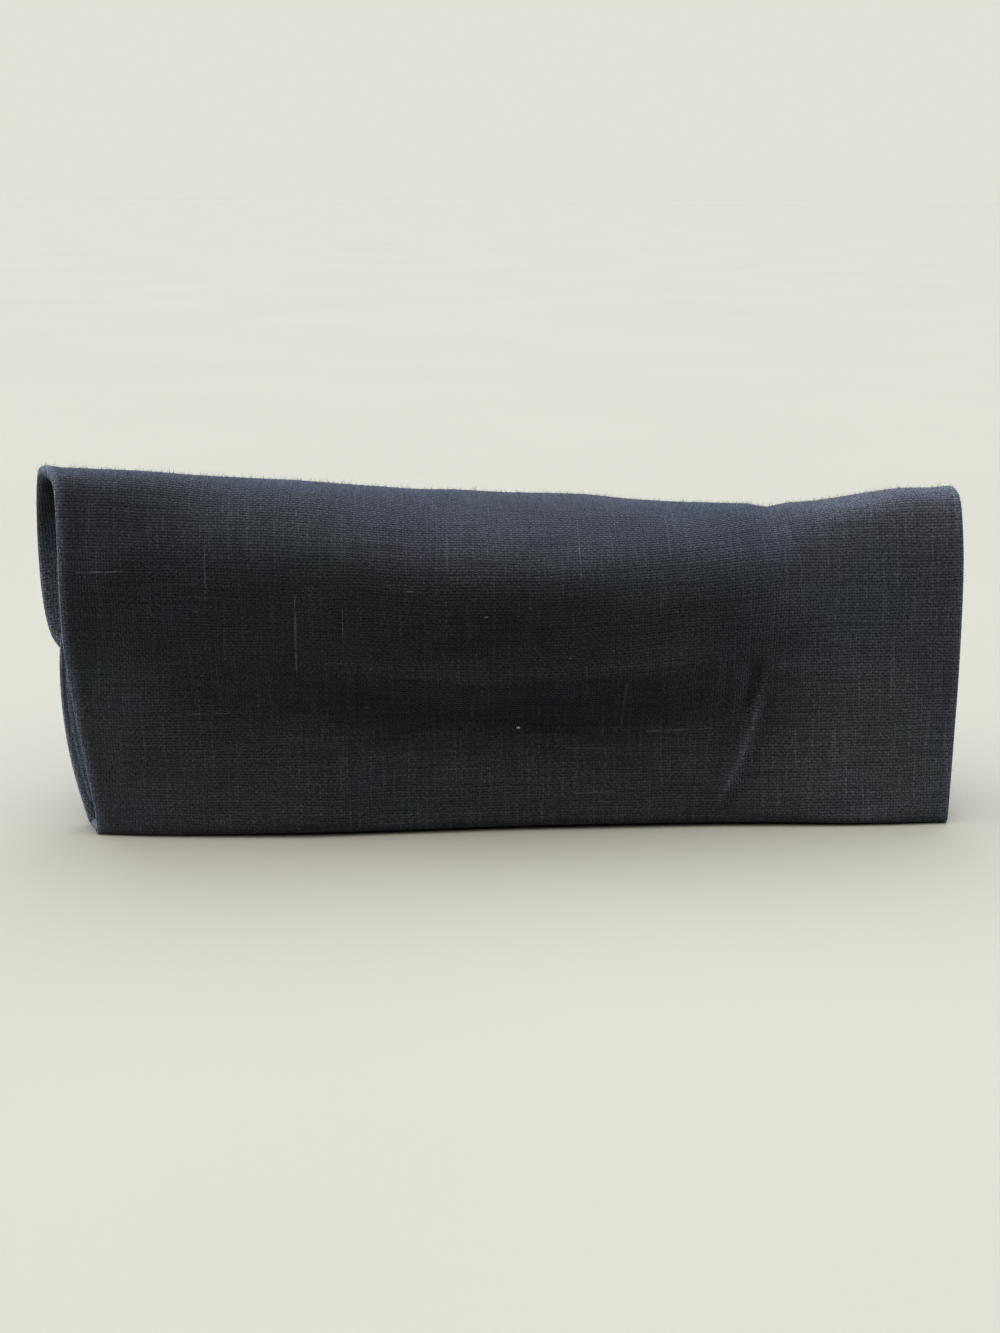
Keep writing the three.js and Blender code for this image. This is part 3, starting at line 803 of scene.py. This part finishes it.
def slub_meshes(cloth):
    """Slubs as closed flat tubes half sunk in the cloth: rings that swell and thin in waves, and 2 tips."""
    t = np.linspace(0, 1, SLUB_RINGS + 2)
    turn = np.arange(SLUB_SIDES) * 2 * math.pi / SLUB_SIDES
    slow, quick = SLUB_WAVES
    skin = slub_skin()
    points, faces, pale = [], [], []
    for x0, v0, x1, v1, thick, paleness in zip(*SLUBS.values()):
        path, normal = lay_on(cloth, mix(x0, x1, t), mix(v0, v1, t))
        flat = np.cross(normal, unit(np.gradient(path, axis=0)))
        swing = np.cos(slow * math.pi * t + x0) * np.cos(quick * math.pi * t + v0)
        uneven = SLUB_MEAN + SLUB_SWING * swing
        path = path - normal * (SLUB_SINK * thick * (1 - uneven))[:, None]
        radius = SLUB_RADIUS * thick * (np.sqrt(np.sin(math.pi * t)) * uneven)[1:-1, None, None]
        outward_part = SLUB_RISE * np.sin(turn)[:, None] * normal[1:-1, None]
        offset = np.cos(turn)[:, None] * flat[1:-1, None] + outward_part
        tube = (path[1:-1, None] + radius * offset).reshape(-1, 3)
        faces.append(skin + sum(len(made) for made in points))
        points.append(np.concatenate([tube, path[[0, -1]]]))
        pale.append(np.full(len(tube) + 2, paleness))
    return np.concatenate(points), np.concatenate(faces), np.concatenate(pale)


def fibre_meshes(cloth, sizes):
    """Stray fibres as thin closed spikes, a foot of 3 points and a tip, closest together on the top fold."""
    rng = np.random.default_rng(FIBRE_SEED)
    count = sizes.fibres
    top = np.exp(-(((cloth.v - FUZZ_TOP) / FUZZ_REACH) ** 2))
    standing = cloth.outer[..., 2] > FIBRE_LOWEST
    chance = np.where(standing, cloth.area * (1 + FUZZ_GAIN * top), 0).ravel()
    root = rng.choice(chance.size, count, p=chance / chance.sum())
    normal = cloth.normal.reshape(-1, 3)[root]
    along, up = grain(cloth, root)
    shift = rng.uniform(-FIBRE_SHIFT, FIBRE_SHIFT, (2, count, 1))
    start = cloth.outer.reshape(-1, 3)[root] + shift[0] * along + shift[1] * up - FIBRE_ROOT * normal
    lean = rng.normal(0, FIBRE_LEAN, (2, count, 1))
    heading = unit(normal + lean[0] * along + lean[1] * up)
    length = sizes.fibre_length / MM * rng.gamma(FIBRE_SHAPE, 1 / FIBRE_SHAPE, (count, 1))
    first = unit(np.cross(heading, along + FIBRE_ASIDE))
    second = np.cross(heading, first)
    turn = np.arange(3) * 2 * math.pi / 3
    foot = np.cos(turn)[:, None] * first[:, None] + np.sin(turn)[:, None] * second[:, None]
    foot = start[:, None] + sizes.fibre_width / MM / 2 * foot
    points = np.concatenate([foot, (start + heading * length)[:, None]], axis=1)
    points[..., 2] = np.maximum(points[..., 2], FIBRE_CLEAR)
    spike = np.array([(0, 2, 1), (0, 1, 3), (1, 2, 3), (2, 0, 3)])
    faces = spike + (4 * np.arange(count))[:, None, None]
    return points.reshape(-1, 3), faces.reshape(-1, 3), np.zeros(4 * count)


def studio_air(look):
    """A world that the camera sees as plain air, and that lights the rest weakly from all round."""
    world = bpy.data.worlds.new("soft studio")
    world.use_nodes = True
    world.node_tree.nodes.clear()
    node = partial(add_node, world.node_tree)
    seen = node("ShaderNodeLightPath").outputs["Is Camera Ray"]
    strength = node("ShaderNodeMix", {0: seen, 2: look.fill, 3: 1.0}).outputs[0]
    air = node("ShaderNodeBackground", {"Color": (*look.air, 1), "Strength": strength})
    node("ShaderNodeOutputWorld", {"Surface": air.outputs["Background"]})
    return world


def soft_light(name, look):
    """A sun lamp with a wide disc, which shines from where LIGHTS says."""
    towards, spread, colour = LIGHTS[name]
    light = bpy.data.lights.new(name, "SUN")
    light.energy = getattr(look, name)
    light.color = linear(colour)
    light.angle = math.radians(spread)
    lamp = bpy.data.objects.new(name, light)
    lamp.matrix_world = Vector(towards).to_track_quat("Z", "Y").to_matrix().to_4x4()
    return lamp


def aimed_camera(look):
    """A camera at its place, turned by azimuth, pitch and roll."""
    lens = bpy.data.cameras.new("camera")
    lens.lens = look.lens
    lens.sensor_fit = "AUTO"
    lens.sensor_width = SENSOR
    forward = Vector((math.sin(look.azimuth), math.cos(look.azimuth), -math.tan(look.pitch)))
    forward = forward.normalized()
    right = Vector((math.cos(look.azimuth), -math.sin(look.azimuth), 0))
    right = Matrix.Rotation(-look.roll, 3, forward) @ right
    upward = right.cross(forward)
    turn = Matrix((right, upward, -forward)).transposed()
    camera = bpy.data.objects.new("camera", lens)
    camera.matrix_world = Matrix.Translation(look.camera) @ turn.to_4x4()
    return camera


class PouchSizes(bpy.types.PropertyGroup):
    """Sizes of the cloth and its yarn."""

    sheet: FloatProperty(
        name="Cloth", description="Thickness of the wrapped cloth", default=1.8 * MM, unit="LENGTH"
    )
    hem_width: FloatProperty(
        name="Hem width", description="Reach of a turned hem's swelling", default=3.4 * MM, unit="LENGTH"
    )
    mouth_hem: FloatProperty(
        name="Mouth hem",
        description="How far the mouth and flap hems stand out",
        default=0.4 * MM,
        unit="LENGTH",
    )
    edge_share: FloatProperty(
        name="Edge",
        description="Share of the thickness left at the very edge",
        default=0.4,
        subtype="FACTOR",
    )
    slack: FloatProperty(
        name="Slack", description="Unevenness of the soft cloth", default=0.28 * MM, unit="LENGTH"
    )
    gusset: FloatProperty(
        name="Gusset", description="Thickness of a gusset", default=1.2 * MM, unit="LENGTH"
    )
    seam_gap: FloatProperty(
        name="Seam gap", description="Clear space between gusset and cloth", default=0.3 * MM, unit="LENGTH"
    )
    hem_room: FloatProperty(
        name="Hem room", description="Room left inside the side hems", default=0.9 * MM, unit="LENGTH"
    )
    gusset_inset: FloatProperty(
        name="Gusset inset",
        description="From the side edge in to the gusset",
        default=1.6 * MM,
        unit="LENGTH",
    )
    valley_foot: FloatProperty(
        name="Fold at the foot",
        description="How far a gusset folds in at its foot",
        default=7 * MM,
        unit="LENGTH",
    )
    valley_mouth: FloatProperty(
        name="Fold at the mouth",
        description="How far it folds in by the mouth",
        default=14 * MM,
        unit="LENGTH",
    )
    column_pitch: FloatProperty(
        name="Columns", description="Spacing of the mesh columns", default=1.15 * MM, unit="LENGTH"
    )
    steps_per_row: IntProperty(name="Rows", description="Mesh rows for each line of the tables", default=7)
    fibres: IntProperty(name="Fibres", description="Number of stray fibres", default=26000)
    fibre_length: FloatProperty(
        name="Fibre length", description="Mean length of a stray fibre", default=0.9 * MM, unit="LENGTH"
    )
    fibre_width: FloatProperty(
        name="Fibre width", description="Thickness of a stray fibre", default=0.07 * MM, unit="LENGTH"
    )


class LinenLook(bpy.types.PropertyGroup):
    """Colours and weave of the linen."""

    dark: FloatVectorProperty(
        name="Dark yarn", description="The deepest dyed yarn", default=linear("#222324"), subtype="COLOR"
    )
    light: FloatVectorProperty(
        name="Light yarn", description="The palest dyed yarn", default=linear("#424347"), subtype="COLOR"
    )
    # Pale colour that rubbed yarn and painted light go towards; also the pale end of loose yarn.
    worn_and_lit: FloatVectorProperty(
        name="Worn yarn",
        description="Yarn rubbed pale at hems and slubs",
        default=linear("#6A7079"),
        subtype="COLOR",
    )
    lint: FloatVectorProperty(
        name="Lint", description="White lint caught in the cloth", default=linear("#C9C7BF"), subtype="COLOR"
    )
    pile: FloatVectorProperty(
        name="Pile", description="Tint of the faint pile", default=linear("#C8DAF6"), subtype="COLOR"
    )
    thread: FloatProperty(
        name="Thread",
        description="Spacing of the threads, drawn wider than the real 0.63 mm so that they show",
        default=0.72 * MM,
        unit="LENGTH",
    )
    sway: FloatProperty(name="Sway", description="How far a thread strays", default=0.9 * MM, unit="LENGTH")
    yarn_run: FloatProperty(
        name="Yarn run", description="Length over which a yarn changes shade", default=16 * MM, unit="LENGTH"
    )
    patch: FloatProperty(
        name="Patch", description="Size of the faded patches", default=40 * MM, unit="LENGTH"
    )
    # It scales wear and the painted light alike.
    wear_and_painted_light_strength: FloatProperty(
        name="Hem wear", description="How pale the hems are rubbed", default=0.54, subtype="FACTOR"
    )
    sheen: FloatProperty(
        name="Sheen", description="Strength of the pile's sheen", default=0.3, subtype="FACTOR"
    )
    bump: FloatProperty(
        name="Weave relief", description="Strength of the weave", default=0.85, subtype="FACTOR"
    )


class StageLook(bpy.types.PropertyGroup):
    """The floor, the light and the camera."""

    floor: FloatVectorProperty(
        name="Floor", description="Colour of the floor", default=linear("#8F8B81"), subtype="COLOR"
    )
    air: FloatVectorProperty(
        name="Air",
        description="Colour of the space behind the floor",
        default=linear("#C4C4BD"),
        subtype="COLOR",
    )
    fill: FloatProperty(name="Fill", description="Strength of the light from all round", default=0.05)
    far_light: FloatProperty(
        name="Far light", description="Strength of the light above the far side", default=4.6
    )
    near_light: FloatProperty(
        name="Near light", description="Strength of the light above the front", default=2.25
    )
    left_light: FloatProperty(
        name="Left light", description="Strength of the light from the left", default=2.2
    )
    right_light: FloatProperty(
        name="Right light", description="Strength of the light from the right", default=0.8
    )
    lens: FloatProperty(name="Lens", description="Focal length", default=44.56, unit="CAMERA")
    azimuth: FloatProperty(
        name="Azimuth",
        description="How far the camera looks to the right",
        default=math.radians(3),
        subtype="ANGLE",
    )
    pitch: FloatProperty(
        name="Pitch", description="How far the camera looks down", default=math.radians(16), subtype="ANGLE"
    )
    roll: FloatProperty(
        name="Roll", description="How far the camera is turned", default=math.radians(0.17), subtype="ANGLE"
    )
    camera: FloatVectorProperty(
        name="Camera",
        description="Place of the camera",
        default=(-21.23 * MM, -403.97 * MM, 153.3 * MM),
        subtype="TRANSLATION",
        unit="LENGTH",
    )


class POUCH_OT_wrap(bpy.types.Operator):
    """Makes the long cloth that is pocket and flap in one"""

    bl_idname = "pouch.wrap"
    bl_label = "Wrapped cloth"

    def execute(self, context):
        cloth = wrap_cloth(context.scene.pouch_sizes)
        points, faces = closed_sheet(cloth.outer, cloth.inner)
        flat = np.stack([cloth.x - cloth.x.min(), cloth.v - cloth.v.min()], axis=-1).reshape(-1, 2)
        # Outer face: hem wear, with a painted highlight on two crease ridges. Inner face: painted light by
        # the sides. fade: painted light and shade in zones, on both faces.
        wear = np.concatenate([cloth.wear.ravel(), cloth.inner_wear.ravel()])
        fade = np.tile(cloth.fade.ravel(), 2)
        linen = woven_linen(context.scene.pouch_look)
        piece = add_piece("wrap_cloth", points, faces, linen, np.tile(flat, (2, 1)), wear=wear, fade=fade)
        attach(piece, "root")
        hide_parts("wrap")
        return {"FINISHED"}


class POUCH_OT_gussets(bpy.types.Operator):
    """Makes the two folded end pieces"""

    bl_idname = "pouch.gussets"
    bl_label = "Gussets"

    def execute(self, context):
        sizes = context.scene.pouch_sizes
        linen = woven_linen(context.scene.pouch_look)
        across, up = np.meshgrid(*(np.linspace(0, 1, count) for count in GUSSET_GRID))
        # Painted light along the gusset's two edges.
        rubbed = GUSSET_PAINTED_LIGHT * np.exp(-((np.minimum(across, 1 - across) / GUSSET_PAINTED_LIGHT_REACH) ** 2))
        wear = np.tile(rubbed.ravel(), 2)
        for name, mirrored in (("gusset_left", False), ("gusset_right", True)):
            surface = partial(gusset_point, mirrored=mirrored, sizes=sizes)
            middle = surface(across, up)
            half = sizes.gusset / MM / 2 * outward(surface, across, up)
            points, faces = closed_sheet(middle + half, middle - half)
            low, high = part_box(name)
            width, length = GUSSET_WIDTH, high.z - low.z
            flat = np.stack([across * width, up * length], axis=-1).reshape(-1, 2) / MM
            piece = add_piece(f"{name}_cloth", points, faces, linen, np.tile(flat, (2, 1)), wear=wear)
            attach(piece, "root")
            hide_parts(name)
        return {"FINISHED"}


class POUCH_OT_yarn(bpy.types.Operator):
    """Lays slubs and stray fibres on the wrapped cloth"""

    bl_idname = "pouch.yarn"
    bl_label = "Slubs and fibres"

    def execute(self, context):
        sizes = context.scene.pouch_sizes
        cloth = wrap_cloth(sizes)
        yarn = loose_yarn(context.scene.pouch_look)
        for name, made in (("slubs", slub_meshes(cloth)), ("stray_fibres", fibre_meshes(cloth, sizes))):
            points, faces, pale = made
            piece = add_piece(name, points, faces, yarn, wear=pale)
            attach(piece, "root")
        return {"FINISHED"}


class POUCH_OT_stage(bpy.types.Operator):
    """Sets the floor, the light and the camera"""

    bl_idname = "pouch.stage"
    bl_label = "Stage"

    def execute(self, context):
        scene = context.scene
        look = scene.pouch_stage
        corners = FLOOR_REACH / MM * np.array([(-1, -1, 0), (1, -1, 0), (1, 1, 0), (-1, 1, 0)])
        floor = add_piece("floor", corners + ORIGIN, np.array([[0, 1, 2, 3]]), painted_board(look))
        scene.world = studio_air(look)
        for name in LIGHTS:
            scene.collection.objects.link(soft_light(name, look))
        camera = aimed_camera(look)
        scene.collection.objects.link(camera)
        scene.camera = camera
        scene.view_settings.view_transform = "Standard"
        scene.view_settings.look = "High Contrast"
        return {"FINISHED"}


class POUCH_PT_panel(bpy.types.Panel):
    """Lists the pouch's pieces and their sizes and colours"""

    bl_idname = "POUCH_PT_panel"
    bl_label = "Linen flap pouch"
    bl_space_type = "VIEW_3D"
    bl_region_type = "UI"
    bl_category = "Pouch"

    def draw(self, context):
        for operator in OPERATORS:
            self.layout.operator(operator.bl_idname)
        for key, group in GROUPS.items():
            box = self.layout.box()
            for name in group.__annotations__:
                box.prop(getattr(context.scene, key), name)


GROUPS = {"pouch_sizes": PouchSizes, "pouch_look": LinenLook, "pouch_stage": StageLook}
OPERATORS = (POUCH_OT_stage, POUCH_OT_wrap, POUCH_OT_gussets, POUCH_OT_yarn)
CLASSES = (*GROUPS.values(), *OPERATORS, POUCH_PT_panel)


def register():
    """Adds the classes to Blender, and the groups of values to its scenes."""
    for made in CLASSES:
        bpy.utils.register_class(made)
    for name, group in GROUPS.items():
        setattr(bpy.types.Scene, name, PointerProperty(type=group))


def unregister():
    """Takes them out again."""
    for name in GROUPS:
        delattr(bpy.types.Scene, name)
    for made in reversed(CLASSES):
        bpy.utils.unregister_class(made)


def main():
    """Builds the stage and the pouch."""
    register()
    bpy.ops.pouch.stage()
    bpy.ops.pouch.wrap()
    bpy.ops.pouch.gussets()
    bpy.ops.pouch.yarn()


if __name__ == "__main__":
    main()
